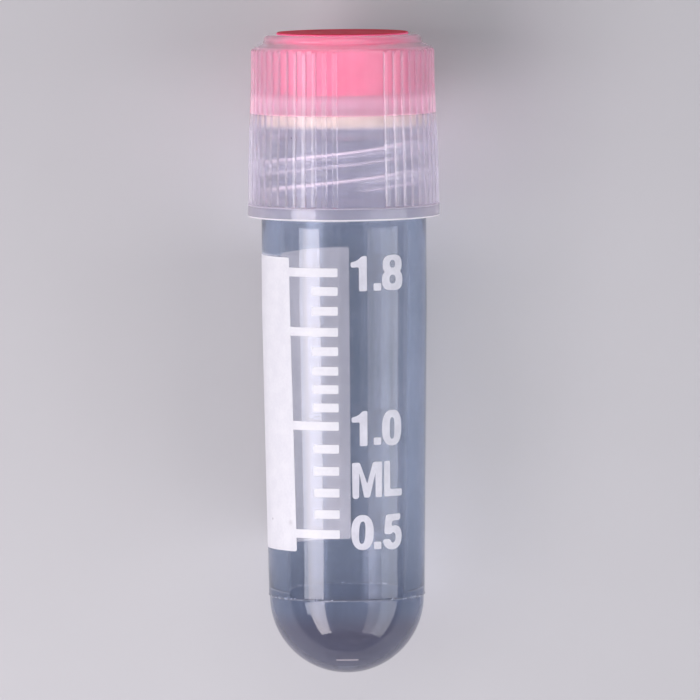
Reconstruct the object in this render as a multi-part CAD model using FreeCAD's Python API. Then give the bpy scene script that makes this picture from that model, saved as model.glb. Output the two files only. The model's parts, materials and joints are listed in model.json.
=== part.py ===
import FreeCAD, Part
import math
import os

from FreeCAD import Placement, Rotation, Vector

# A screw-capped vial for deep-frozen samples, 48 mm tall, in four mouldings: a round-bottomed
# tube, a ribbed screw cap, a colour insert pressed into the top of the cap, and a soft disc
# that seals the mouth. Each is modelled about the vial's own axis, with the tip of the round
# bottom at the origin, +Z through the cap and the scale's side towards -Y. The vial can't stand
# on its round bottom, so at the end it is laid on its side, where it rests on the rim of its
# cap and on the seam ridge of its tube, with the scale uppermost.

# heights are measured from the tip of the round bottom, all sizes in millimetres
total_height = 48.0

# tube, outside
bottom_radius = 5.77          # the round bottom is half a ball
gate_radius = 0.95            # the dish left where the plastic entered the mould
gate_depth = 0.12
seam_height = 5.95            # sharp little ridge where the two halves of the mould met
seam_radius = 5.87
seam_half_width = 0.10
body_low_radius = 5.83        # just above the seam, from where the draft opens the body
land_low, land_high = 27.5, 34.15
land_radius = 6.16            # parallel stretch that a rack's hole holds
shoulder_radius = 5.95        # the stretch inside the skirt of the cap
shoulder_height = 35.15
shoulder_round = 0.25
neck_radius = 5.45
lip_height = 41.0
lip_round = 0.22

# tube, inside
floor_thickness = 1.12
bore_low_radius = 4.38
bore_top_radius = 4.80
bore_straight_from = 31.0
mouth_chamfer = 0.15

# thread: two starts, right-handed
lead = 4.1
starts = 2
ridge_root_width = 0.95
ridge_crest_width = 0.50
tube_crest_radius = 5.92
tube_ridge_front_height = 39.6    # middle of a ridge where it crosses the scale's side
tube_ridges = (36.1, 39.95)       # heights between which the middle of a ridge runs
cap_crest_radius = 5.56
cap_ridge_width_share = 0.80      # the ridges of the cap are slimmer than those of the tube
cap_ridge_drop = 0.97             # they bear on the underside of the tube's ridges
cap_ridges = (36.7, 39.9)
root_sink = 0.12                  # how far a ridge's foot is buried in its wall

# cap, outside
skirt_height = 34.25              # the free edge of the skirt
skirt_chamfer = 0.12
band_radius = 7.17
band_top = 35.22
rib_crests = ((35.10, 7.13), (38.2, 7.11), (44.2, 6.86), (47.2, 6.845))   # (height, radius)
rib_height = 0.17
rib_positions = 54
ribs_together, ribs_missing = 14, 4
rib_width_deg = 3.0
smooth_middle_deg = 11.5          # the smooth panel by the scale's side, turned to its right
shoulder_lip = (6.57, 46.98)      # (radius, height) where the slope round the top ends
tier_radius = 5.93
plateau_height = 47.88
tier_round = 0.45

# cap, inside
skirt_bore_radius = 6.42
skirt_bore_top = 35.45
thread_bore_radius = 6.02
bead_radius = 5.56                # small ring that keeps the seal in the cap
bead_low, bead_high = 40.66, 40.96
pocket_radius = 5.80
ceiling_height = 42.02
well_radius = 4.70
well_floor = 43.35
seat_radius = 4.98                # shallow seat for the rim of the insert
seat_height = 47.70

# insert and seal
insert_radius = 4.66
insert_rim_radius = 4.92
insert_rim_round = 0.10
insert_bottom = 43.40
seal_radius = 5.67
seal_low, seal_high = 41.01, 42.01
seal_round = 0.12

axis_up = Vector(0, 0, 1)
here = Vector(0, 0, 0)


def bend(middle, radius, start_deg, end_deg):
    """An arc step of an outline: the point halfway along it, then its end."""
    points = []
    for angle in (math.radians((start_deg + end_deg) / 2), math.radians(end_deg)):
        points += [middle[0] + radius * math.cos(angle), middle[1] + radius * math.sin(angle)]
    return tuple(points)


def turned(*steps):
    """Turn a closed outline round the axis. A step is (radius, height) for a straight line to
    that point, or an arc from bend()."""
    edges = []
    last = Vector(steps[0][-2], 0, steps[0][-1])
    for step in steps[1:] + steps[:1]:
        end = Vector(step[-2], 0, step[-1])
        if len(step) == 4:
            edges.append(Part.Arc(last, Vector(step[0], 0, step[1]), end).toShape())
        elif not end.isEqual(last, 1e-6):
            edges.append(Part.LineSegment(last, end).toShape())
        last = end
    return Part.Face(Part.Wire(edges)).revolve(here, axis_up, 360)


def disc(radius, low, high):
    return Part.makeCylinder(radius, high - low, Vector(0, 0, low))


def thread(root_radius, crest_radius, front_height, heights, width_share=1.0):
    """The ridges of all starts. Each is a trapezoid swept up a helix while its middle climbs
    from heights[0] to heights[1]; front_height is where one crosses the scale's side."""
    half_root = ridge_root_width * width_share / 2
    half_crest = ridge_crest_width * width_share / 2
    corners = [
        Vector(root_radius, 0, -half_root),
        Vector(crest_radius, 0, -half_crest),
        Vector(crest_radius, 0, half_crest),
        Vector(root_radius, 0, half_root),
    ]
    section = Part.makePolygon(corners + corners[:1])
    path = Part.makeHelix(lead, heights[1] - heights[0], root_radius)
    ridge = Part.Wire(path.Edges).makePipeShell([section], True, True)
    ridges = []
    for start in range(starts):
        height_at_front = front_height + start * lead / starts
        degrees = -90 + (heights[0] - height_at_front) / lead * 360
        placed = ridge.copy()
        placed.Placement = Placement(Vector(0, 0, heights[0]), Rotation(axis_up, degrees))
        ridges.append(placed)
    return ridges


def make_tube():
    gate_edge = bottom_radius - math.sqrt(bottom_radius**2 - gate_radius**2)
    gate_angle = -math.degrees(math.acos(gate_radius / bottom_radius))
    bore_middle = (0, floor_thickness + bore_low_radius)
    blank = turned(
        (0, gate_edge + gate_depth),
        (gate_radius * 0.8, gate_edge + gate_depth),
        (gate_radius, gate_edge),
        bend((0, bottom_radius), bottom_radius, gate_angle, 0),
        (bottom_radius, seam_height - seam_half_width),
        (seam_radius, seam_height),
        (body_low_radius, seam_height + seam_half_width),
        (land_radius, land_low),
        (land_radius, land_high),
        (shoulder_radius, land_high + land_radius - shoulder_radius),
        (shoulder_radius, shoulder_height - shoulder_round),
        bend(
            (shoulder_radius - shoulder_round, shoulder_height - shoulder_round),
            shoulder_round, 0, 90,
        ),
        (neck_radius, shoulder_height),
        (neck_radius, lip_height - lip_round),
        bend((neck_radius - lip_round, lip_height - lip_round), lip_round, 0, 90),
        (bore_top_radius + mouth_chamfer, lip_height),
        (bore_top_radius, lip_height - mouth_chamfer),
        (bore_top_radius, bore_straight_from),
        (bore_low_radius, bore_middle[1]),
        bend(bore_middle, bore_low_radius, 0, -90),
    )
    ridges = thread(
        neck_radius - root_sink, tube_crest_radius, tube_ridge_front_height, tube_ridges
    )
    return blank.fuse(ridges).removeSplitter()


def rib_outline(crest_radius, height):
    """The outside of the cap's wall at one height: groups of ribs that stand proud of it, with
    a plain stretch of wall wherever ribs are left out."""
    pitch = 360 / rib_positions
    group = ribs_together + ribs_missing
    wall_radius = crest_radius - rib_height
    first = -90 + smooth_middle_deg + (ribs_missing / 2 + 0.5) * pitch

    def at(radius, degrees):
        angle = math.radians(degrees)
        return Vector(radius * math.cos(angle), radius * math.sin(angle), height)

    def arc(radius, start, end):
        return Part.Arc(at(radius, start), at(radius, (start + end) / 2), at(radius, end)).toShape()

    edges = []
    for position in range(rib_positions):
        place = position % group
        if place >= ribs_together:
            continue
        start = first + position * pitch - rib_width_deg / 2
        end = start + rib_width_deg
        steps_to_next = 1 if place + 1 < ribs_together else ribs_missing + 1
        edges += [
            arc(crest_radius, start, end),
            Part.LineSegment(at(crest_radius, end), at(wall_radius, end)).toShape(),
            arc(wall_radius, end, start + steps_to_next * pitch),
            Part.LineSegment(
                at(wall_radius, start + steps_to_next * pitch),
                at(crest_radius, start + steps_to_next * pitch),
            ).toShape(),
        ]
    return Part.Wire(edges)


def make_cap():
    outlines = [rib_outline(radius, height) for height, radius in rib_crests]
    top_radius = rib_crests[-1][1]
    corner = top_radius - shoulder_lip[0]
    corner_middle = (shoulder_lip[0], shoulder_lip[1] - corner)
    room_for_ribs = turned(
        (0, skirt_height),
        (band_radius + 1, skirt_height),
        (band_radius + 1, corner_middle[1] - 1),
        (top_radius, corner_middle[1] - 1),
        (top_radius, corner_middle[1]),
        bend(corner_middle, corner, 0, 90),
        (0, shoulder_lip[1]),
    )
    wall = Part.makeLoft(outlines, True, True).common(room_for_ribs)
    top = turned(
        (0, shoulder_lip[1] - 0.5),
        (shoulder_lip[0] - 0.1, shoulder_lip[1] - 0.5),
        shoulder_lip,
        (tier_radius + 0.12, shoulder_lip[1] + 0.24),
        (tier_radius, shoulder_lip[1] + 0.36),
        (tier_radius, plateau_height - tier_round),
        bend((tier_radius - tier_round, plateau_height - tier_round), tier_round, 0, 90),
        (0, plateau_height),
    )
    band = turned(
        (0, skirt_height),
        (band_radius - skirt_chamfer, skirt_height),
        (band_radius, skirt_height + skirt_chamfer),
        (band_radius, band_top),
        (0, band_top),
    )
    inside = turned(
        (0, skirt_height - 1),
        (skirt_bore_radius, skirt_height - 1),
        (skirt_bore_radius, skirt_bore_top),
        (thread_bore_radius, skirt_bore_top + skirt_bore_radius - thread_bore_radius),
        (thread_bore_radius, bead_low - thread_bore_radius + bead_radius),
        (bead_radius, bead_low),
        (bead_radius, bead_high),
        (pocket_radius, bead_high),
        (pocket_radius, ceiling_height),
        (0, ceiling_height),
    )
    well = disc(well_radius, well_floor, total_height)
    seat = disc(seat_radius, seat_height, total_height)
    shell = wall.fuse([top, band]).cut([inside, well, seat])
    ridges = thread(
        thread_bore_radius + root_sink,
        cap_crest_radius,
        tube_ridge_front_height - cap_ridge_drop,
        cap_ridges,
        cap_ridge_width_share,
    )
    return shell.fuse(ridges).removeSplitter()


def make_insert():
    return turned(
        (0, insert_bottom),
        (insert_radius, insert_bottom),
        (insert_radius, seat_height),
        (insert_rim_radius, seat_height),
        (insert_rim_radius, total_height - insert_rim_round),
        bend(
            (insert_rim_radius - insert_rim_round, total_height - insert_rim_round),
            insert_rim_round, 0, 90,
        ),
        (0, total_height),
    )


def make_seal():
    return turned(
        (0, seal_low),
        (seal_radius - seal_round, seal_low),
        bend((seal_radius - seal_round, seal_low + seal_round), seal_round, -90, 0),
        (seal_radius, seal_high - seal_round),
        bend((seal_radius - seal_round, seal_high - seal_round), seal_round, 0, 90),
        (0, seal_high),
    )


def lying():
    """How the vial lies on its side: it touches down with the rim of its cap and the ridge of its
    seam, so the cap's end is the higher one."""
    rise = band_radius - seam_radius
    run = skirt_height + skirt_chamfer - seam_height
    tilt = math.atan2(rise, run)
    along = Vector(math.cos(tilt), 0, math.sin(tilt))
    scale_side = Vector(-math.sin(tilt), 0, math.cos(tilt))
    lift = seam_radius * math.cos(tilt) - seam_height * math.sin(tilt)
    turn = Rotation(Vector(0, -1, 0), scale_side.negative(), along)
    return Placement(Vector(0, 0, lift), turn), tilt


pieces = {
    "tube": make_tube(),
    "screw_cap": make_cap(),
    "colour_insert": make_insert(),
    "sealing_disc": make_seal(),
}

laid, tilt = lying()
for piece in pieces.values():
    piece.Placement = laid.multiply(piece.Placement)
box = Part.makeCompound(list(pieces.values())).optimalBoundingBox(False, True)
to_middle = Vector(-(box.XMin + box.XMax) / 2, -(box.YMin + box.YMax) / 2, 0)
os.makedirs("parts", exist_ok=True)
for name, piece in pieces.items():
    piece.translate(to_middle)
    print(f"{name}: {piece.ShapeType} of {len(piece.Solids)} solid, {len(piece.Faces)} faces, "
          f"{piece.Volume:.1f} mm3, valid {piece.isValid()}")
    piece.exportStep(f"parts/{name}.step")
tip = laid.Base.add(to_middle)
print(f"tilt {math.degrees(tilt):.3f} degrees, tip of the bottom at {tip.x:.4f}, {tip.y:.4f}, {tip.z:.4f}")
print(f"size {box.XLength:.3f} x {box.YLength:.3f} x {box.ZLength:.3f}, lowest point {box.ZMin:.4f}")
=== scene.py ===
import json
import math

import bmesh
import bpy
import numpy as np
from mathutils import Matrix, Vector


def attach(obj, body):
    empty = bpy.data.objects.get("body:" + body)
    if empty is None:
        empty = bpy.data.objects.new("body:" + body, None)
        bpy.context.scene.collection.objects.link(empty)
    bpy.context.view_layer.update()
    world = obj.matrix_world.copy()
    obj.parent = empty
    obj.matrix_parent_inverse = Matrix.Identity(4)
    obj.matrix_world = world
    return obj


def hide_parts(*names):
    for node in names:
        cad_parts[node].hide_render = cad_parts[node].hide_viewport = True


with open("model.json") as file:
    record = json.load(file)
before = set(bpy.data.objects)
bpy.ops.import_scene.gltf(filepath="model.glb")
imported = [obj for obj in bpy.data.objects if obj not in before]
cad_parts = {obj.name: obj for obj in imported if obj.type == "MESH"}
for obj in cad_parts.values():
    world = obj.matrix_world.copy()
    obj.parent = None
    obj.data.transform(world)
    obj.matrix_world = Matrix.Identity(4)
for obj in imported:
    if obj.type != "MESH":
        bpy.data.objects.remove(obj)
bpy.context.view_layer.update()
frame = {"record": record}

# The tube. It is moulded in natural polypropylene, a milky and slightly bluish plastic, with a
# wall of about 1.3 mm and a round bottom. Its body opens a little from the mould's seam upwards,
# and a coarse thread of two starts is moulded on its neck, inside the cap.
vial_length_m = 0.048
mounts = {mount["name"]: mount for mount in frame["record"]["mounts"]}
vial_up = Vector(mounts["cap_top"]["axis"]).normalized()
vial_bottom = Vector(mounts["cap_top"]["pos_m"]) - vial_length_m * vial_up
# every piece is drawn standing on the vial's own axis, with its scale towards -Y, and this lays
# it on its side with the scale uppermost
laid = Matrix.Translation(vial_bottom) @ Matrix((
    (0, vial_up.z, vial_up.x),
    (-1, 0, 0),
    (0, -vial_up.x, vial_up.z),
)).to_4x4()


def arc(middle, radius, start, end, steps):
    """Points of an outline on a rounding: (radius, height) of its middle, angles in degrees."""
    angles = np.radians(np.linspace(start, end, steps))
    return [(middle[0] + radius * math.cos(a), middle[1] + radius * math.sin(a)) for a in angles]


def turned(name, stretches, angles, relief=None):
    """A closed shell turned about the vial's axis from an outline of (radius, height), in
    millimetres, that starts and ends on the axis. Each stretch of the outline comes with the
    number of its finish, and relief gives the places of points that lie off the round."""
    outline = np.array([point for _, stretch in stretches for point in stretch], float)
    finishes = [number for number, stretch in stretches for _ in stretch]
    columns = len(angles)
    radius, height = (np.repeat(outline[1:-1, k, None], columns, 1) for k in (0, 1))
    if relief:
        radius, height = relief(radius, height, np.broadcast_to(angles, radius.shape))
    rings = np.stack([radius * np.cos(angles), radius * np.sin(angles), height], -1)
    points = np.vstack([(0, 0, outline[0, 1]), rings.reshape(-1, 3), (0, 0, outline[-1, 1])])
    here = 1 + np.arange(columns)
    after = 1 + np.roll(np.arange(columns), -1)
    faces = [(0, b, a) for a, b in zip(here, after)]
    for row in range(len(radius) - 1):
        low, high = row * columns, (row + 1) * columns
        faces += [(a + low, b + low, b + high, a + high) for a, b in zip(here, after)]
    last = (len(radius) - 1) * columns
    faces += [(a + last, b + last, len(points) - 1) for a, b in zip(here, after)]
    mesh = bpy.data.meshes.new(name)
    mesh.from_pydata((points * 0.001).tolist(), [], faces)
    mesh.polygons.foreach_set("material_index", np.repeat(finishes[1:], columns))
    mesh.shade_smooth()
    mesh.set_sharp_from_angle(angle=math.radians(40))
    return placed(name, mesh)


def placed(name, mesh):
    """The object of a mesh, laid on its side with the rest of the vial."""
    piece = bpy.data.objects.new(name, mesh)
    bpy.context.scene.collection.objects.link(piece)
    piece.matrix_world = laid
    return piece


thread_lead, thread_starts = 4.1, 2
ridges_apart = thread_lead / thread_starts


def ridges(angle, height, front_height, lowest, highest, root_width, crest_width):
    """How far up the flank of a thread ridge a point lies, from 0 on the wall to 1 on the crest.
    One ridge is at front_height on the scale's side. They run from lowest to highest and fade
    out over the last 0.2 mm at both ends."""
    climb = front_height + thread_lead * (angle + math.pi / 2) / (2 * math.pi)
    middle = climb + np.round((height - climb) / ridges_apart) * ridges_apart
    flank = (root_width / 2 - abs(height - middle)) / ((root_width - crest_width) / 2)
    ends = np.minimum(middle - lowest, highest - middle) / 0.2
    return np.clip(flank, 0, 1) * np.clip(ends, 0, 1) ** 0.5


class Channel:
    """One output of a material's nodes. Arithmetic on channels adds Math nodes."""

    def __init__(self, socket):
        self.socket = socket

    def node(self, kind, settings={}, sockets={}, output=0):
        """Add a node of a kind to the same material, and give one of its outputs."""
        tree = self.socket.id_data
        made = tree.nodes.new("ShaderNode" + kind)
        for name, value in settings.items():
            if name == "stops":
                for stop, (place, colour) in zip(made.color_ramp.elements, value):
                    stop.position, stop.color = place, (*colour, 1)
            else:
                setattr(made, name, value)
        for name, value in sockets.items():
            if isinstance(value, Channel):
                tree.links.new(value.socket, made.inputs[name])
            else:
                made.inputs[name].default_value = value
        return Channel(made.outputs[output]) if made.outputs else None

    def math(self, operation, *operands):
        """A Math node's result, on this channel or on the operands given."""
        return self.node("Math", {"operation": operation}, dict(enumerate(operands or (self,))))

    def __add__(self, other):
        return self.math("ADD", self, other)

    def __sub__(self, other):
        return self.math("SUBTRACT", self, other)

    def __rsub__(self, other):
        return self.math("SUBTRACT", other, self)

    def __mul__(self, other):
        return self.math("MULTIPLY", self, other)

    __radd__ = __add__
    __rmul__ = __mul__

    def within(self, low, high):
        """1 where this channel is at high and 0 where it is at low, with a soft change."""
        return self.node("MapRange", {"interpolation_type": "SMOOTHSTEP"},
                         {"Value": self, "From Min": low, "From Max": high})

    def stretched(self, x, y, z):
        """These coordinates multiplied by the three numbers."""
        return self.node("VectorMath", {"operation": "MULTIPLY"}, {0: self, 1: (x, y, z)})

    def from_axis(self):
        """How far these coordinates are from the vial's axis."""
        across = self.stretched(1, 1, 0)
        return self.node("VectorMath", {"operation": "LENGTH"}, {0: across}, output=1)

    def from_place(self, spot):
        """How far these coordinates are from a spot."""
        return self.node("VectorMath", {"operation": "DISTANCE"}, {0: self, 1: spot}, output=1)

    def along(self, axis):
        """One of these coordinates: X is across the scale, Y away from it and Z up the vial."""
        return self.node("SeparateXYZ", {}, {0: self}, output=axis)

    def noise(self, per_metre, detail=3.0):
        return self.node("TexNoise", {}, {"Vector": self, "Scale": per_metre, "Detail": detail})

    def mixed(self, low, high):
        """A colour between low, where this channel is 0, and high, where it is 1."""
        return self.node("Mix", {"data_type": "RGBA"}, {0: self, 6: low, 7: high}, output=2)

    def bump(self, strength, distance):
        return self.node("Bump", {}, {"Height": self, "Strength": strength, "Distance": distance})


def material(name):
    """An empty material, and the channel of places on a piece, in metres on the vial's axes."""
    made = bpy.data.materials.new(name)
    made.use_nodes = True
    made.node_tree.nodes.clear()
    coordinates = made.node_tree.nodes.new("ShaderNodeTexCoord")
    return made, Channel(coordinates.outputs["Object"])


def plastic(place, lamps_through=None, **sockets):
    """A plastic surface that has these sockets. lamps_through is the colour that lamplight keeps
    when it goes in or out through a clear or milky one."""
    sockets = {name.replace("_", " "): value for name, value in sockets.items()}
    surface = place.node("BsdfPrincipled", {}, sockets)
    if lamps_through is None:
        return surface
    from_lamp = place.node("LightPath", {}, {}, output="Is Shadow Ray")
    open_to_lamps = place.node("BsdfTransparent", {}, {"Color": (*lamps_through, 1)})
    return place.node("MixShader", {}, {0: from_lamp, 1: surface, 2: open_to_lamps})


def surfaced(surface):
    """Give a material this surface."""
    surface.node("OutputMaterial", {}, {"Surface": surface})


neck_radius, ridge_crest, ridge_front_height = 5.45, 5.92, 39.6
bottom_radius, seam_top, taper_top = 5.77, 6.05, 27.5
ball_middle = (0, bottom_radius)


def body_wall(height):
    """Outer radius of the body, which opens a little from the seam upwards."""
    return np.interp(height, (seam_top, taper_top), (5.83, 6.16))


def tube_relief(radius, height, angle):
    """The two ridges of the thread, moulded on the neck."""
    up = ridges(angle, height, ridge_front_height, lowest=36.1, highest=39.95,
                root_width=0.95, crest_width=0.50)
    on_neck = (abs(radius - neck_radius) < 0.01) & (height > 35.3)
    return radius + np.where(on_neck, up * (ridge_crest - neck_radius), 0), height


def bore_wall(height):
    """Radius of the bore, which narrows slowly, and faster from 12 mm down to its round end."""
    narrowing = 0.126 * ((12 - min(height, 12)) / 6.5) ** 1.5
    return np.interp(height, (12, 31), (4.506, 4.80)) - narrowing


body, bore, gate_and_seam, neck, bottom = range(5)
tube = turned(
    "tube_body",
    [
        (gate_and_seam, [(0, 0.13), (0.14, 0.13), (0.22, 0.15), (0.27, 0.199), (0.76, 0.199),
                         (0.88, 0.15)]),
        (bottom, arc(ball_middle, bottom_radius, -80.5, 0, 48) + [(5.785, 5.86)]),
        (gate_and_seam, [(5.82, 5.90), (5.86, 5.935), (5.87, 5.95), (5.865, 5.97), (5.84, 6.01)]),
        (body, [(body_wall(z), z)
                for z in (*np.linspace(seam_top, taper_top, 12), 29.5, 32, 34.1)]
         + [(6.14, 34.17), (5.97, 34.34), (5.95, 34.40), (5.95, 34.7)]
         + arc((5.70, 34.90), 0.25, 0, 90, 7)),
        (neck, arc((5.57, 35.27), 0.12, -90, -180, 5)[:-1]
         + [(neck_radius, z) for z in np.arange(35.35, 40.75, 0.07)]
         + arc((5.23, 40.78), 0.22, 0, 90, 7)),
        (bore, arc((4.95, 40.85), 0.15, 90, 180, 5)
         + [(bore_wall(z), z) for z in (*np.arange(40.0, 12.1, -0.5), *np.arange(12.0, 5.6, -0.25))]
         + arc((0, 5.50), 4.38, 0, -88, 60) + [(0, 1.12)]),
    ],
    np.radians(np.arange(0, 360, 1.25)),
    tube_relief,
)
# one plastic in three finishes: the neck is duller, and the bottom is less clear and is painted
# darker, as painted shade. Each turns from a foot painted dark, as painted shade, to a cloudy,
# paler colour between two heights, in metres
milky_tube_colours = (0.15, 0.19, 0.28, 1), (0.35, 0.43, 0.58, 1), (0.43, 0.51, 0.68, 1)
painted_shade_bottom_colours = (0.155, 0.165, 0.240, 1), (0.18, 0.225, 0.33, 1), (0.21, 0.26, 0.38, 1)
tube_finishes = {}
for name, clear, gloss, dark_below, full_above, colours in (
    ("milky_bottom_plastic", 0.72, 1.0, 0.0034, 0.0052, painted_shade_bottom_colours),
    ("milky_tube_plastic", 0.89, 1.0, 0.0020, 0.0165, milky_tube_colours),
    ("milky_neck_plastic", 0.89, 0.3, 0.0020, 0.0165, milky_tube_colours),
):
    tube_finishes[name], place = material(name)
    painted_shade_colour, dull_colour, full_colour = colours
    drawn = place.stretched(1, 1, 0.06).noise(1400, 2.0)
    cloud = place.noise(260, 3.0)
    speckle = place.noise(2600, 2.0)
    across, inward, height = (place.along(axis) for axis in "XYZ")
    milky = plastic(
        place,
        # painted shade: the colour is darker towards the foot of the tube
        Base_Color=height.within(dark_below, full_above).mixed(
            painted_shade_colour,
            (0.55 * cloud + 0.45 * drawn).within(0.36, 0.64).mixed(dull_colour, full_colour)),
        Roughness=0.03 + 0.06 * speckle + 0.30 * height.within(0.0349, 0.0352),
        IOR=1.49,
        Specular_Tint=(gloss, gloss, gloss, 1),
        Transmission_Weight=clear,
        Subsurface_Weight=1.0,
        Subsurface_Radius=(0.001, 0.001, 0.001),
        Subsurface_Scale=1.0,
        Normal=(0.7 * drawn + 0.3 * speckle).bump(0.10, 0.00003),
        lamps_through=(0.97, 0.97, 0.97),
    )
    # a pale, rough surface painted in as lines: highlights on the neck's thread, and a faint line
    # on the bottom
    painted_pale_lines = plastic(
        place,
        Base_Color=speckle.within(0.3, 0.7).mixed((0.92, 0.81, 0.83, 1), (1.0, 0.89, 0.90, 1)),
        Roughness=0.35 + 0.2 * speckle,
        IOR=1.49,
    )
    if "neck" in name:
        # painted highlight: along the under-flanks of the ridges, which the cap's thread bears on,
        # a pale line is painted for the glint there, a fifth of the way down from each ridge's
        # middle to the next one
        turn = place.math("ARCTAN2", inward, across) * (1 / (2 * math.pi)) + 0.25
        ridges_up = (height - ridge_front_height * 0.001) * (1 / (ridges_apart * 0.001))
        from_ridge = (ridges_up - thread_starts * turn + 0.5).math("FRACT") - 0.5
        painted_bearing_highlight = 1 - (from_ridge + 0.195).math("ABSOLUTE").within(0.034, 0.056)
        mark = painted_bearing_highlight * height.within(0.0360, 0.0364) * (1 - height.within(0.0398, 0.0401))
    else:
        # a short, faint pale line is painted across the bottom on the scale's side, at a height of
        # 1.3 mm
        its_width = 1 - across.math("ABSOLUTE").within(0.00076, 0.00088)
        its_height = 1 - (height - 0.00130).math("ABSOLUTE").within(0.00001, 0.00007)
        mark = 0.4 * its_width * its_height * (1 - inward.within(-0.003, 0))
    surfaced(place.node("MixShader", {}, {0: mark, 1: milky, 2: painted_pale_lines}))
bore_plastic, place = material("clear_bore_plastic")
surfaced(plastic(
    place,
    Base_Color=(0.99, 0.94, 0.89, 1),
    Roughness=0.03 + 0.05 * place.noise(2600, 2.0),
    IOR=1.49,
    Transmission_Weight=1.0,
    lamps_through=(0.99, 0.98, 0.97),
))
seam_plastic, place = material("frosted_seam_and_gate")
speckle = place.noise(2600, 2.0)
surfaced(plastic(
    place,
    Base_Color=speckle.within(0.35, 0.65).mixed((0.18, 0.22, 0.31, 1), (0.44, 0.48, 0.60, 1)),
    Roughness=0.15 + 0.2 * speckle,
    IOR=1.49,
    Transmission_Weight=0.75,
    lamps_through=(0.85, 0.86, 0.88),
))
for finish in (tube_finishes["milky_tube_plastic"], bore_plastic, seam_plastic,
               tube_finishes["milky_neck_plastic"], tube_finishes["milky_bottom_plastic"]):
    tube.data.materials.append(finish)
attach(tube, "tube")
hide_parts("tube")


# The printing. White ink is screen-printed straight on the tube after moulding, while the tube
# turns under the screen: a filled panel to write on, and the marks of the volume scale, whose
# longer ones run into the panel.
ink_thickness = 0.024
print_radius = 6.155


def softened(corners, cut):
    """A closed loop whose corners are cut three times over, so that they round off by cut."""
    loop = np.array(corners, float)
    for share in (1, 0.45, 0.2):
        following = np.roll(loop, -1, 0)
        run = following - loop
        length = np.maximum(np.linalg.norm(run, axis=1, keepdims=True), 1e-9)
        step = np.minimum(0.25, cut * share / length)
        loop = np.stack([loop + run * step, following - run * step], 1).reshape(-1, 2)
    return loop


def printed(name, shapes):
    """Ink rolled on the wall. A shape is a list of loops, drawn flat in millimetres: round the
    tube from the scale's front, and up it. Loops inside the first one are holes."""
    flat = bmesh.new()
    for loops in shapes:
        edges = []
        for loop in loops:
            corners = [flat.verts.new((x, z, 0)) for x, z in loop]
            edges += [flat.edges.new(ends) for ends in zip(corners, corners[1:] + corners[:1])]
        bmesh.ops.triangle_fill(flat, use_beauty=True, edges=edges)
    across = [v.co.x for v in flat.verts]
    for x in np.arange(min(across) + 0.15, max(across), 0.15):
        bmesh.ops.bisect_plane(flat, geom=flat.verts[:] + flat.edges[:] + flat.faces[:],
                               plane_co=(x, 0, 0), plane_no=(1, 0, 0))
    bmesh.ops.bisect_plane(flat, geom=flat.verts[:] + flat.edges[:] + flat.faces[:],
                           plane_co=(0, taper_top, 0), plane_no=(0, 1, 0))
    flat.normal_update()
    for face in flat.faces:
        if face.normal.z < 0:
            face.normal_flip()
    bmesh.ops.solidify(flat, geom=flat.faces[:], thickness=ink_thickness)
    depths = [v.co.z for v in flat.verts]
    half_depth = (min(depths) + max(depths)) / 2
    for v in flat.verts:
        x, height, depth = v.co
        angle = x / print_radius
        radius = body_wall(height) + depth - half_depth
        v.co = Vector((radius * math.sin(angle), -radius * math.cos(angle), height)) * 0.001
    flat.normal_update()
    for face in flat.faces:
        middle = face.calc_center_median()
        face.material_index = face.normal.x * middle.x + face.normal.y * middle.y < 0
    mesh = bpy.data.meshes.new(name)
    flat.to_mesh(mesh)
    flat.free()
    mesh.shade_smooth()
    mesh.set_sharp_from_angle(angle=math.radians(40))
    return placed(name, mesh)


panel_low, panel_high = 9.55, 31.46
panel_edge_low, panel_edge_high, panel_back = -4.17, -4.48, -19.77
writing_panel = printed("writing_panel", [[softened([
    (panel_back, panel_low), (panel_edge_low, panel_low),
    (panel_edge_high, panel_high), (panel_back, panel_high),
], 0.1)]])

tick_heights = (10.91, 12.40, 14.0, 15.62, 17.27, 18.98, 20.35, 21.71, 23.08, 24.54, 25.98, 27.54,
                29.01, 30.40)
long_ticks = (0, 5, 10, 13)


def tick(number, height):
    front, half_height = -0.505, 0.325
    edge = panel_edge_low + (panel_edge_high - panel_edge_low) * (height - panel_low) / (
        panel_high - panel_low)
    back = edge - 0.05 if number in long_ticks else -2.52
    low, high = height - half_height, height + half_height
    return [softened([(back, low), (front, low), (front, high), (back, high)], 0.05)]


scale_ticks = printed("scale_ticks", [tick(n, z) for n, z in enumerate(tick_heights)])

white_ink, place = material("white_ink")
patchy = place.noise(900, 4.0)
grain = place.noise(5200, 2.0)
# a speck of dirt and a faint smudge near the panel's foot
from_speck = place.from_place((-0.00558, -0.00232, 0.0118))
from_smudge = place.from_place((-0.0042, -0.0043, 0.0117))
dirt = 1 - (from_speck + 0.00012 * grain).within(0.00013, 0.00023)
smudge = 0.25 - 0.25 * (from_smudge + 0.0002 * patchy).within(0.0001, 0.00045)
surfaced(plastic(
    place,
    Base_Color=(dirt + smudge).mixed(
        (0.6 * patchy + 0.4 * grain).within(0.3, 0.7).mixed(
            (0.67, 0.68, 0.73, 1), (0.73, 0.74, 0.78, 1)),
        (0.20, 0.19, 0.22, 1)),
    Roughness=0.38 + 0.2 * grain,
    IOR=1.48,
    Normal=grain.bump(0.25, 0.00002),
))
underside, place = material("underside_of_the_ink")
patchy = place.noise(900, 4.0)
surfaced(plastic(
    place,
    Base_Color=patchy.within(0.3, 0.7).mixed((0.82, 0.79, 0.81, 1), (0.87, 0.84, 0.86, 1)),
    Roughness=0.5 + 0.2 * patchy,
    IOR=1.48,
))
for print_piece in (writing_panel, scale_ticks):
    for finish in (white_ink, underside):
        print_piece.data.materials.append(finish)
    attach(print_piece, "tube")
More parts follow.
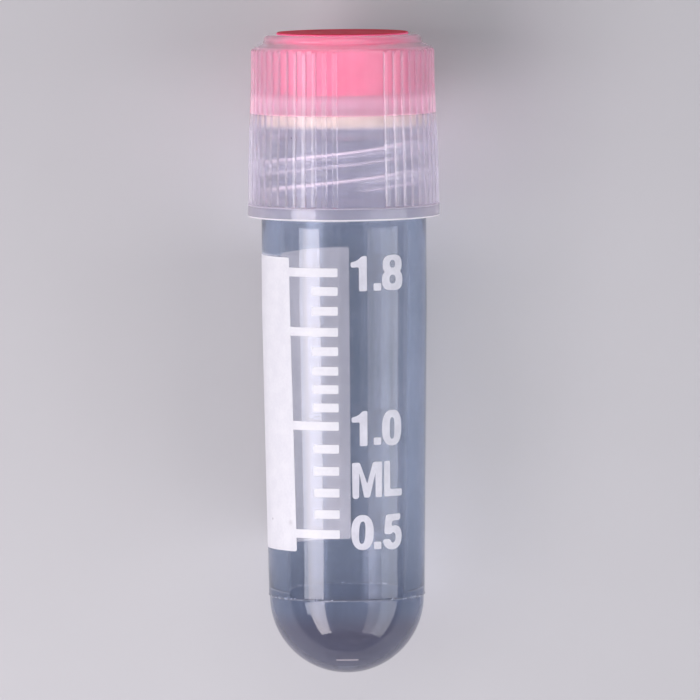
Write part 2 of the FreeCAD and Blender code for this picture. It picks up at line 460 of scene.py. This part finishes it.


# The figures of the scale, in the same pass of ink: 1.8, 1.0 and 0.5 beside their marks, and the
# unit between the lower two. They are plain bold numerals, a little over 2.6 mm tall, and the ink
# lies a bit thinner on their narrow strokes. Their colour is painted darker next to the scale and
# paler further round the tube: painted light that evens out how the lamps fall across them.
def ring(middle, half_width, half_height, squareness=2.4, lean=0.0):
    """A loop between an oval and a box, round a middle."""
    loop = []
    for angle in np.radians(np.arange(0, 360, 9)):
        x, z = (math.copysign(abs(t) ** (2 / squareness), t)
                for t in (math.cos(angle), math.sin(angle)))
        loop.append((middle[0] + half_width * x + lean * half_height * z,
                     middle[1] + half_height * z))
    return np.array(loop)


one = [softened([(0.62, 0), (1.22, 0), (1.22, 2.62), (0.84, 2.60), (0.60, 2.36), (0.33, 2.22),
                 (0, 2.15), (0.02, 1.77), (0.62, 1.78)], 0.06)]
point = [softened([(0, 0), (0.61, 0), (0.61, 0.56), (0, 0.56)], 0.06)]
nought = [ring((0.885, 1.315), 0.885, 1.33, 2.5), ring((0.885, 1.28), 0.225, 0.80, 3.2)]
leaning_nought = [ring((0.89, 1.31), 0.89, 1.31, 2.3), ring((0.86, 1.30), 0.25, 0.83, 2.7, 0.05)]
right_of_eight = [(0.28, 0), (0.71, 0.10), (0.925, 0.46), (0.93, 0.92), (0.86, 1.20), (0.68, 1.38),
                  (0.82, 1.56), (0.87, 1.84), (0.83, 2.26), (0.62, 2.54), (0.26, 2.63)]
eight = [
    softened([(0.90 + x, z) for x, z in right_of_eight]
             + [(0.90 - x, z) for x, z in right_of_eight[::-1]], 0.3),
    ring((0.885, 0.82), 0.285, 0.33, 2.4), ring((0.885, 1.96), 0.255, 0.29, 2.4),
]
five = [softened([
    (0.28, 2.64), (1.66, 2.68), (1.63, 2.19), (0.82, 2.16), (0.78, 1.76), (1.22, 1.82),
    (1.58, 1.66), (1.78, 1.30), (1.81, 0.88), (1.69, 0.42), (1.36, 0.10), (0.90, 0), (0.44, 0.08),
    (0.10, 0.36), (0, 0.80), (0.64, 0.82), (0.76, 0.56), (0.98, 0.50), (1.16, 0.66), (1.21, 0.95),
    (1.15, 1.20), (0.94, 1.32), (0.70, 1.14), (0.12, 1.21),
], 0.10)]
letter_m = [softened([
    (0.03, 0), (0.28, -0.12), (0.54, 0), (0.56, 1.86), (0.94, 0), (1.38, 0), (1.85, 1.86),
    (1.86, 0), (2.38, 0), (2.40, 2.65), (1.66, 2.65), (1.18, 1.02), (0.60, 2.62), (0, 2.60),
], 0.07)]
letter_l = [softened([(0, 0), (1.67, 0), (1.67, 0.53), (0.53, 0.53), (0.51, 2.65), (0, 2.65)],
                     0.07)]
figures = (
    (one, 0.47, 29.01), (point, 2.21, 29.02), (eight, 2.93, 29.01),
    (one, 0.46, 17.48), (point, 2.18, 17.54), (nought, 2.88, 17.46),
    (letter_m, 0.47, 13.64), (letter_l, 3.06, 13.66),
    (leaning_nought, 0.38, 9.73), (point, 2.19, 9.76), (five, 2.93, 9.66),
)
scale_figures = printed("scale_figures", [
    [loop + np.array((x, z)) for loop in loops] for loops, x, z in figures])
thin_ink, place = material("thinner_white_ink")
patchy = place.noise(1100, 4.0)
grain = place.noise(5200, 2.0)
cover = (0.6 * patchy + 0.4 * grain).within(0.3, 0.7)
surfaced(plastic(
    place,
    # painted light: darker next to the scale, paler further round the tube
    Base_Color=place.along("X").within(0.0010, 0.0042).mixed(
        cover.mixed((0.57, 0.58, 0.65, 1), (0.67, 0.68, 0.75, 1)),
        cover.mixed((0.66, 0.67, 0.74, 1), (0.77, 0.78, 0.85, 1))),
    Roughness=0.40 + 0.2 * grain,
    IOR=1.48,
    Normal=grain.bump(0.25, 0.00002),
))
for finish in (thin_ink, underside):
    scale_figures.data.materials.append(finish)
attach(scale_figures, "tube")


# The sealing disc. A flat disc of cream-white silicone that lies in the top of the cap and is
# pressed on the tube's mouth. Its rim has a small rounding, and a bead inside the cap keeps it
# in when the cap is lifted.
disc_radius, disc_low, disc_high, disc_round = 5.67, 41.01, 42.01, 0.12
all_over = 0
sealing_disc = turned(
    "seal_pad",
    [(all_over, [(0, disc_low), (2, disc_low), (4, disc_low)]
      + arc((disc_radius - disc_round, disc_low + disc_round), disc_round, -90, 0, 6)
      + arc((disc_radius - disc_round, disc_high - disc_round), disc_round, 0, 90, 6)
      + [(4, disc_high), (2, disc_high), (0, disc_high)])],
    np.radians(np.arange(0, 360, 2.5)),
)
silicone, place = material("cream_silicone")
cloud = place.noise(500, 3.0)
dust = place.noise(4200, 3.0)
surfaced(plastic(
    place,
    # painted shade: the disc is painted dark along its lower face and the foot of its rim, next to
    # the tube's mouth
    Base_Color=place.along("Z").within(0.04098, 0.04136).mixed(
        (0.36, 0.33, 0.33, 1),
        cloud.within(0.35, 0.65).mixed((0.65, 0.57, 0.42, 1), (0.71, 0.63, 0.48, 1))),
    Roughness=0.50 + 0.15 * dust,
    IOR=1.41,
    Subsurface_Weight=0.25,
    Subsurface_Radius=(0.0012, 0.0010, 0.0008),
    Subsurface_Scale=1.0,
    Normal=dust.bump(0.15, 0.00002),
))
sealing_disc.data.materials.append(silicone)
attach(sealing_disc, "seal")
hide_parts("sealing_disc")


# The screw cap. It is moulded in the same natural polypropylene as the tube, about 0.8 mm thick
# in the wall. Fine ribs for the fingers stand in three groups between smooth panels, a plain band
# stiffens the skirt's edge, and the top is stepped round a well for the colour insert.
rib_positions, rib_group, ribs_together = 54, 18, 14
# across one position: degrees from its middle, and the share of the rib's height there
rib_profile = ((-1.75, 0), (-1.5, 0.60), (-1.1, 0.92), (0, 1), (1.1, 0.92), (1.5, 0.60), (1.75, 0),
               (2.5, 0), (3.33, 0), (4.15, 0))
rib_height, rib_tip, rib_tip_rounding = 0.17, 46.78, 0.30
skirt_bore, cap_ridge_crest = 6.02, 5.56
# the middle of a smooth panel is 11.5 degrees to the right of the scale's front
first_rib = -90 + 11.5 + 2.5 * 360 / rib_positions
cap_angles, rib_share = [], []
for position in range(rib_positions):
    for offset, share in rib_profile:
        cap_angles.append(math.radians(first_rib + position * 360 / rib_positions + offset))
        rib_share.append(share if position % rib_group < ribs_together else 0)


def cap_wall(height):
    """Radius of the plain wall between the ribs."""
    return np.interp(height, (35.1, 38.2, 44.2, 47.2), (7.13, 7.11, 6.86, 6.845)) - rib_height


def cap_relief(radius, height, angle):
    """The ribs outside, whose upper ends are rounded off, and the thread's ridges inside."""
    outside = (radius > 6.6) & (height > 35.25) & (height < 46.9)
    below_tip = np.clip((rib_tip - height) / rib_tip_rounding, 0, 1)
    ribs = rib_height * np.array(rib_share) * (1 - (1 - below_tip) ** 2) ** 0.5
    radius = radius + np.where(outside, ribs, 0)
    inside = (abs(radius - skirt_bore) < 0.01) & (height > 35.9) & (height < 40.6)
    up = ridges(angle, height, 38.63, lowest=36.7, highest=39.9, root_width=0.76, crest_width=0.40)
    return radius - np.where(inside, up * (skirt_bore - cap_ridge_crest), 0), height


cap_lining, cap_side, round_the_insert, band_edges = range(4)
screw_cap = turned(
    "cap_shell",
    [
        (cap_lining, [(0, 42.02), (2.5, 42.02), (5.0, 42.02)] + arc((5.70, 41.92), 0.10, 90, 0, 4)
         + [(5.80, 41.4), (5.80, 40.98), (5.58, 40.96), (5.56, 40.90), (5.56, 40.72),
            (5.58, 40.64), (5.95, 40.27), (skirt_bore, 40.18)]
         + [(skirt_bore, z) for z in np.arange(40.12, 36.0, -0.065)]
         + [(6.05, 35.86), (6.40, 35.48), (6.42, 35.42), (6.42, 34.8)]
         + arc((6.50, 34.33), 0.08, 180, 270, 4)),
        (band_edges, [(6.8, 34.25)] + arc((7.05, 34.37), 0.12, -90, 0, 5)),
        (cap_side, [(7.17, 34.45), (7.17, 35.12)]),
        (band_edges, arc((7.12, 35.17), 0.05, 30, 90, 3) + [(cap_wall(35.24), 35.225)]),
        (cap_side, [(cap_wall(z), z)
                    for z in (35.3, 35.8, 36.6, 37.4, 38.2, 39.2, 40.2, 41.2, 42.0)]),
        (round_the_insert, [(cap_wall(z), z) for z in (
            42.07, 42.6, 43.2, 43.7, 44.2, 45.0, 45.8, 46.3, 46.45, 46.50, 46.56, 46.62, 46.67,
            46.71, 46.74, 46.77, 46.80)]
         + [(6.665, 46.86), (6.64, 46.92), (6.60, 46.965), (6.55, 46.99), (6.10, 47.20),
            (6.02, 47.245), (5.96, 47.31), (5.935, 47.38), (5.93, 47.42)]
         + arc((5.48, 47.43), 0.45, 0, 90, 10)
         + [(5.1, 47.88)] + arc((5.04, 47.82), 0.06, 90, 180, 4)),
        (cap_lining, [(4.98, 47.70), (4.70, 47.70)]
         + [(4.70, z) for z in (46.5, 45, 43.6)] + arc((4.60, 43.45), 0.10, 0, -90, 4)
         + [(3, 43.35), (0, 43.35)]),
    ],
    cap_angles,
    cap_relief,
)
cap_inside, place = material("clear_inside_of_the_cap")
# the thread's ridges and the hollow for the disc are duller than the wall between them
dull_part = (1 - place.from_axis().within(0.00590, 0.00600)) * (
    1 - place.along("Z").within(0.0420, 0.0422))
surfaced(plastic(
    place,
    Base_Color=(0.97, 0.95, 0.99, 1),
    Roughness=0.38 + 0.5 * dull_part + 0.08 * place.noise(2600, 2.0),
    IOR=1.49,
    Specular_Tint=(0.3, 0.3, 0.3, 1),
    Transmission_Weight=1.0,
    lamps_through=(0.94, 0.92, 0.95),
))
milky_caps = []
for name, clear, low_colours, change, high_colours in (
    # painted light: higher up the side, the insert's pink glow is painted into the milky colour
    ("milky_cap_plastic", 0.72, ((0.61, 0.59, 0.67, 1), (0.69, 0.67, 0.75, 1)),
     (0.0416, 0.0427), ((0.92, 0.56, 0.73, 1), (0.98, 0.62, 0.79, 1))),
    # painted light: the pink glow that the insert sends into the plastic round it is painted into
    # its colour, down to the hollow that holds the disc
    ("milky_cap_plastic_round_the_insert", 0.45, ((0.95, 0.58, 0.72, 1), (0.99, 0.64, 0.78, 1)),
     (0.0430, 0.0437), ((0.73, 0.41, 0.53, 1), (0.79, 0.46, 0.59, 1))),
    # painted light: the light that runs inside the wall and comes out at the edges of the band
    # round the skirt is painted in as a pale colour on the lower edge, and a little duller on the
    # upper one
    ("band_edges_with_painted_glow", 0.20, ((0.90, 0.82, 0.87, 1), (0.98, 0.90, 0.95, 1)),
     (0.0346, 0.0350), ((0.55, 0.51, 0.60, 1), (0.62, 0.58, 0.67, 1))),
):
    cap_plastic, place = material(name)
    cloud = place.noise(300, 3.0)
    drawn = place.stretched(1, 1, 0.08).noise(1200, 2.0)
    speckle = place.noise(2600, 2.0)
    height = place.along("Z")
    # the crests of the ribs stand out from the plain wall, and shine more than it
    wall = height.node("MapRange", {}, {
        "Value": height, "From Min": 0.0382, "From Max": 0.0442,
        "To Min": 0.001 * cap_wall(38.2), "To Max": 0.001 * cap_wall(44.2)})
    crest = (place.from_axis() - wall).within(0.00004, 0.00013)
    patchy = (0.7 * cloud + 0.3 * drawn).within(0.36, 0.64)
    colour = patchy.mixed(*low_colours)
    # painted light: the change with height is the insert's glow, painted in
    colour = height.within(*change).mixed(colour, patchy.mixed(*high_colours))
    speck = place.from_place((-0.00384, -0.00575, 0.0404))
    surfaced(plastic(
        place,
        Base_Color=speck.within(0.00007, 0.00014).mixed((0.10, 0.08, 0.10, 1), colour),
        Roughness=0.19 - 0.12 * height.within(0.0466, 0.0469) + 0.05 * speckle,
        IOR=1.49,
        Specular_Tint=(0.3, 0.3, 0.3, 1),
        Coat_Weight=(
            (0.25 - 0.15 * height.within(0.0400, 0.0425)) * crest + height.within(0.0466, 0.0469)),
        Coat_Roughness=0.06,
        Coat_IOR=1.9,
        Transmission_Weight=clear,
        Subsurface_Weight=1.0,
        Subsurface_Radius=(0.0015, 0.0015, 0.0015),
        Subsurface_Scale=1.0,
        Normal=drawn.bump(0.04, 0.00003),
        lamps_through=(0.90, 0.87, 0.89),
    ))
    milky_caps.append(cap_plastic)
for finish in (cap_inside, *milky_caps):
    screw_cap.data.materials.append(finish)
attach(screw_cap, "cap")
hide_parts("screw_cap")


# The colour insert. A plug of strong pink polypropylene, moulded on its own so that boxes of
# vials can be told apart, and pressed into the well in the top of the cap. Its thin rim sits in
# a shallow seat, and its satin top stands just proud of the cap.
rim_rounding = (4.80, 47.88), 0.12
plug_side, plug_top = range(2)
colour_insert = turned(
    "colour_plug",
    [
        (plug_side, [(0, 43.40), (2.5, 43.40)] + arc((4.56, 43.50), 0.10, -90, 0, 5)
         + [(4.66, 45.5), (4.66, 47.66), (4.70, 47.705), (4.90, 47.705), (4.92, 47.73)]
         + arc(*rim_rounding, 0, 36, 3)),
        (plug_top, arc(*rim_rounding, 54, 90, 3)
         + [(4.5, 48.0), (4.3, 48.0), (4.1, 47.985), (4.0, 47.96), (2.0, 47.955), (0, 47.955)]),
    ],
    np.radians(np.arange(0, 360, 2)),
)
for name, dull, full in (
    ("pink_insert_plastic", (0.95, 0.15, 0.30, 1), (1.0, 0.19, 0.35, 1)),
    ("red_top_of_the_insert", (0.88, 0.045, 0.09, 1), (0.94, 0.055, 0.105, 1)),
):
    insert_plastic, place = material(name)
    cloud = place.noise(420, 3.0)
    grain = place.noise(3800, 3.0)
    surfaced(plastic(
        place,
        Base_Color=cloud.within(0.35, 0.65).mixed(dull, full),
        Roughness=0.42 + 0.15 * grain,
        IOR=1.49,
        Specular_IOR_Level=0.04,
        Subsurface_Weight=0.2,
        Subsurface_Radius=(0.0020, 0.0006, 0.0008),
        Subsurface_Scale=1.0,
        Normal=grain.bump(0.2, 0.00002),
    ))
    colour_insert.data.materials.append(insert_plastic)
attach(colour_insert, "cap")
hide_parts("colour_insert")


# The table under the vial: one plain pale sheet, with long soft lights on both sides of the vial
# and the camera looking down on its scale.
table_mesh = bpy.data.meshes.new("table")
table_mesh.from_pydata([(-3, -3, 0), (3, -3, 0), (3, 3, 0), (-3, 3, 0)], [], [(0, 1, 2, 3)])
table = bpy.data.objects.new("table", table_mesh)
bpy.context.scene.collection.objects.link(table)
table_paint, place = material("pale_table")
surfaced(plastic(
    place,
    Base_Color=place.noise(60, 3.0).mixed((0.47, 0.475, 0.49, 1), (0.50, 0.505, 0.52, 1)),
    Roughness=0.6,
))
table_mesh.materials.append(table_paint)


def strip_light(name, from_degrees, to_degrees, radiance, colour, near=-54, far=8):
    """A long light box beside the vial, along it. Its edges are seen from the vial at these
    angles from straight up: across, positive towards +Y, and along, positive to the cap."""
    distance = 0.25
    across_middle, across_half = (math.radians(to_degrees + k * from_degrees) / 2 for k in (1, -1))
    ends = [distance * math.tan(math.radians(angle)) for angle in (near, far)]
    box = bpy.data.lights.new(name, "AREA")
    box.shape = "RECTANGLE"
    box.size = ends[1] - ends[0]
    box.size_y = 2 * distance * math.tan(abs(across_half))
    box.energy = radiance * math.pi * box.size * box.size_y
    box.color = colour
    light = bpy.data.objects.new(name, box)
    bpy.context.scene.collection.objects.link(light)
    away = Vector((0, math.sin(across_middle), math.cos(across_middle)))
    along = Vector((1, 0, 0))
    light.matrix_world = Matrix.Translation(
        Vector((sum(ends) / 2, 0, 0.007)) + away * distance
    ) @ Matrix((along, away.cross(along), away)).transposed().to_4x4()


strip_light("left_edge", 58, 65, 6.0, (0.90, 0.90, 1.0), near=-26)
strip_light("left_key", 45, 58, 7.8, (1.0, 0.92, 0.95))
strip_light("left_soft", 34, 45, 7.0, (1.0, 0.92, 0.95))
strip_light("above", 34, -30, 0.40, (0.85, 0.90, 1.0))
strip_light("right_key", -32, -52, 1.9, (1.0, 0.95, 0.98))
strip_light("right_soft", -52, -80, 3.1, (0.96, 0.95, 1.0))
strip_light("cap_end", 34, -34, 0.8, (1.0, 0.97, 0.98), near=20, far=60)

world = bpy.data.worlds.new("room")
world.use_nodes = True
world.node_tree.nodes["Background"].inputs["Color"].default_value = (0.86, 0.90, 1.0, 1)
world.node_tree.nodes["Background"].inputs["Strength"].default_value = 0.04
bpy.context.scene.world = world

lens = bpy.data.cameras.new("camera")
lens.lens = 483
lens.sensor_width = 36
lens.clip_end = 10
camera = bpy.data.objects.new("camera", lens)
bpy.context.scene.collection.objects.link(camera)
camera_place = laid @ Vector((0.00038, -0.700, 0.077))
looks_at = laid @ Vector((0.00038, 0, 0.0242))
back = (camera_place - looks_at).normalized()
lean = math.radians(0.46)
upright = laid.to_3x3() @ Vector((math.sin(lean), 0, math.cos(lean)))
right = upright.cross(back).normalized()
camera.matrix_world = Matrix.Translation(camera_place) @ Matrix(
    (right, back.cross(right), back)).transposed().to_4x4()
bpy.context.scene.camera = camera
bpy.context.scene.view_settings.view_transform = "Standard"
